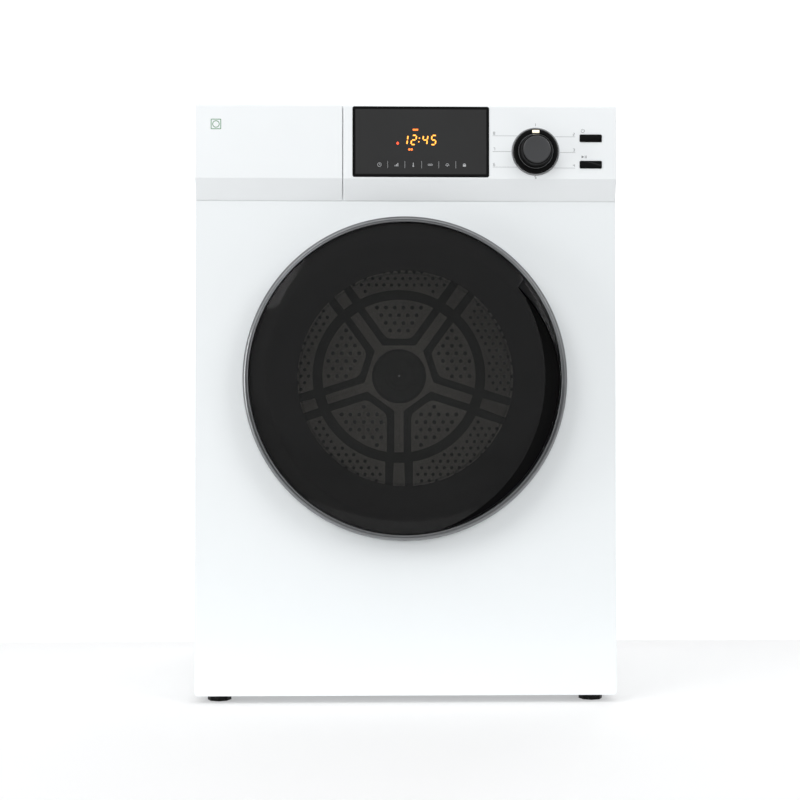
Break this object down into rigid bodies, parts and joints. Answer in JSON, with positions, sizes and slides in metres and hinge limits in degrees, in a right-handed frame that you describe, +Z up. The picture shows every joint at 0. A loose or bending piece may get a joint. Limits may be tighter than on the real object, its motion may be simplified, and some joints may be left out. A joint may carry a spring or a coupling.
{
  "type": "clothes dryer",
  "caption": "Front-loading compact clothes dryer with a round domed glass door, sloped control fascia, dial, push buttons, rear exhaust and screw feet.",
  "frame": {"origin": "middle of the overall box at floor level, under the feet", "axes": "+X to the machine's right seen from the front, +Y towards its back, +Z up"},
  "size_m": [0.595, 0.614, 0.845],
  "materials": {
    "white_enamel": "smooth cool white enamel",
    "white_plastic": "satin white moulded plastic",
    "zinc_steel": "galvanised sheet, dull",
    "drum_steel": "satin stainless drum sheet",
    "satin_trim": "satin silver ring",
    "bearing_steel": "ground steel",
    "smoked_glass": "dark smoked glossy dome",
    "bowl_glass": "moulded clear glass",
    "display_glass": "near-black display window with amber digits",
    "black_gloss": "black moulded plastic, low gloss",
    "black_plastic": "black moulded plastic",
    "dark_plastic": "dark grey moulded plastic",
    "grey_plastic": "mid grey moulded plastic",
    "light_plastic": "light grey moulded plastic",
    "grey_felt": "grey felt and soft seal",
    "black_rubber": "black rubber",
    "heater_alloy": "heat-tinted steel of the heating rods",
    "circuit_board": "green board with black chips",
    "motor_grey": "grey painted steel"
  },
  "bodies": {
    "cabinet": {"base_pan": "zinc_steel", "side_panel_left": "white_enamel", "side_panel_right": "white_enamel", "front_panel": "white_enamel", "rear_panel": "zinc_steel", "rear_duct_cover": "zinc_steel", "top_cover": "white_enamel", "top_rails": "zinc_steel", "terminal_cover": "dark_plastic", "cabinet_screws": "zinc_steel", "control_fascia": "white_plastic", "fascia_end_cover": "white_plastic", "display_window": "display_glass", "control_board": "circuit_board", "dial_ring": "grey_plastic", "hinge_bracket": "zinc_steel", "hinge_pin": "bearing_steel", "latch_housing": "dark_plastic", "shaft_bearing": "bearing_steel", "bearing_bracket": "zinc_steel", "front_bulkhead": "light_plastic", "front_felt": "grey_felt", "moisture_sensor": "bearing_steel", "roller_axles": "bearing_steel", "drum_belt": "black_rubber", "air_duct": "light_plastic", "blower_housing": "light_plastic", "exhaust_pipe": "zinc_steel", "exhaust_collar": "grey_plastic", "heater_housing": "zinc_steel", "heater_element": "heater_alloy", "heater_thermostat": "dark_plastic", "motor_body": "motor_grey"},
    "door": {"door_ring": "satin_trim", "door_window": "smoked_glass", "door_grip": "black_plastic", "door_bowl": "bowl_glass", "door_inner_frame": "dark_plastic", "door_seal": "black_rubber", "door_strike": "zinc_steel"},
    "drum": {"drum_shell": "drum_steel", "drum_back": "drum_steel", "drum_baffles": "grey_plastic", "drum_shaft": "bearing_steel"},
    "dial": {"dial_knob": "black_gloss"},
    "power_key": {"power_button": "black_gloss"},
    "start_key": {"start_button": "black_gloss"},
    "filter": {"lint_filter": "dark_plastic"},
    "jaw_upper": {"latch_jaw_upper": "grey_plastic"},
    "jaw_lower": {"latch_jaw_lower": "grey_plastic"},
    "left_roller": {"roller_left": "dark_plastic"},
    "right_roller": {"roller_right": "dark_plastic"},
    "rotor": {"motor_shaft": "bearing_steel", "blower_wheel": "dark_plastic"},
    "tension_arm": {"idler_arm": "zinc_steel"},
    "idler": {"idler_pulley": "dark_plastic"},
    "front_left_foot": {"foot_front_left": "black_plastic"},
    "front_right_foot": {"foot_front_right": "black_plastic"},
    "rear_left_foot": {"foot_rear_left": "black_plastic"},
    "rear_right_foot": {"foot_rear_right": "black_plastic"}
  },
  "joints": [
    {"name": "door_hinge", "type": "hinge", "parent": "cabinet", "child": "door", "pos_m": [-0.211, -0.287, 0.4575], "axis": [0, 0, -1], "range_deg": [0, 120]},
    {"name": "drum_spin", "type": "hinge", "parent": "cabinet", "child": "drum", "pos_m": [0, 0, 0.477], "axis": [0, 1, 0], "continuous": true},
    {"name": "motor_spin", "type": "hinge", "parent": "cabinet", "child": "rotor", "pos_m": [0.15, 0, 0.105], "axis": [0, 1, 0], "continuous": true},
    {"name": "left_roller_spin", "type": "hinge", "parent": "cabinet", "child": "left_roller", "pos_m": [-0.17236, -0.174, 0.23084], "axis": [0, 1, 0], "continuous": true},
    {"name": "right_roller_spin", "type": "hinge", "parent": "cabinet", "child": "right_roller", "pos_m": [0.17236, -0.174, 0.23084], "axis": [0, 1, 0], "continuous": true},
    {"name": "tension_arm_swing", "type": "hinge", "parent": "cabinet", "child": "tension_arm", "pos_m": [0.03792, -0.06, 0.12623], "axis": [0, 1, 0], "range_deg": [0, 12], "stiffness_Nm_per_rad": 3, "springref_deg": -34.38},
    {"name": "idler_spin", "type": "hinge", "parent": "tension_arm", "child": "idler", "pos_m": [0.08104, -0.072, 0.10513], "axis": [0, 1, 0], "continuous": true},
    {"name": "dial_turn", "type": "hinge", "parent": "cabinet", "child": "dial", "pos_m": [0.1826, -0.287, 0.7787], "axis": [0, 1, 0], "continuous": true},
    {"name": "power_press", "type": "slide", "parent": "cabinet", "child": "power_key", "axis": [0, 1, 0], "range_m": [0, 0.0015], "stiffness_N_per_m": 800, "springref_m": -0.001},
    {"name": "start_press", "type": "slide", "parent": "cabinet", "child": "start_key", "axis": [0, 1, 0], "range_m": [0, 0.0015], "stiffness_N_per_m": 800, "springref_m": -0.001},
    {"name": "filter_lift", "type": "slide", "parent": "cabinet", "child": "filter", "axis": [0, 0, 1], "range_m": [0, 0.16]},
    {"name": "upper_jaw_press", "type": "slide", "parent": "cabinet", "child": "jaw_upper", "axis": [0, 0, 1], "range_m": [0, 0.003], "stiffness_N_per_m": 1500, "springref_m": -0.002},
    {"name": "lower_jaw_press", "type": "slide", "parent": "cabinet", "child": "jaw_lower", "axis": [0, 0, -1], "range_m": [0, 0.003], "stiffness_N_per_m": 1500, "springref_m": -0.002},
    {"name": "front_left_foot_screw", "type": "slide", "parent": "cabinet", "child": "front_left_foot", "axis": [0, 0, -1], "range_m": [0, 0.012]},
    {"name": "front_right_foot_screw", "type": "slide", "parent": "cabinet", "child": "front_right_foot", "axis": [0, 0, -1], "range_m": [0, 0.012]},
    {"name": "rear_left_foot_screw", "type": "slide", "parent": "cabinet", "child": "rear_left_foot", "axis": [0, 0, -1], "range_m": [0, 0.012]},
    {"name": "rear_right_foot_screw", "type": "slide", "parent": "cabinet", "child": "rear_right_foot", "axis": [0, 0, -1], "range_m": [0, 0.012]}
  ],
  "couplings": [
    {"joint": "motor_spin", "follows": "drum_spin", "ratio": 22.629},
    {"joint": "left_roller_spin", "follows": "drum_spin", "ratio": -14.01},
    {"joint": "right_roller_spin", "follows": "drum_spin", "ratio": -14.01},
    {"joint": "idler_spin", "follows": "drum_spin", "ratio": -18.873}
  ]
}
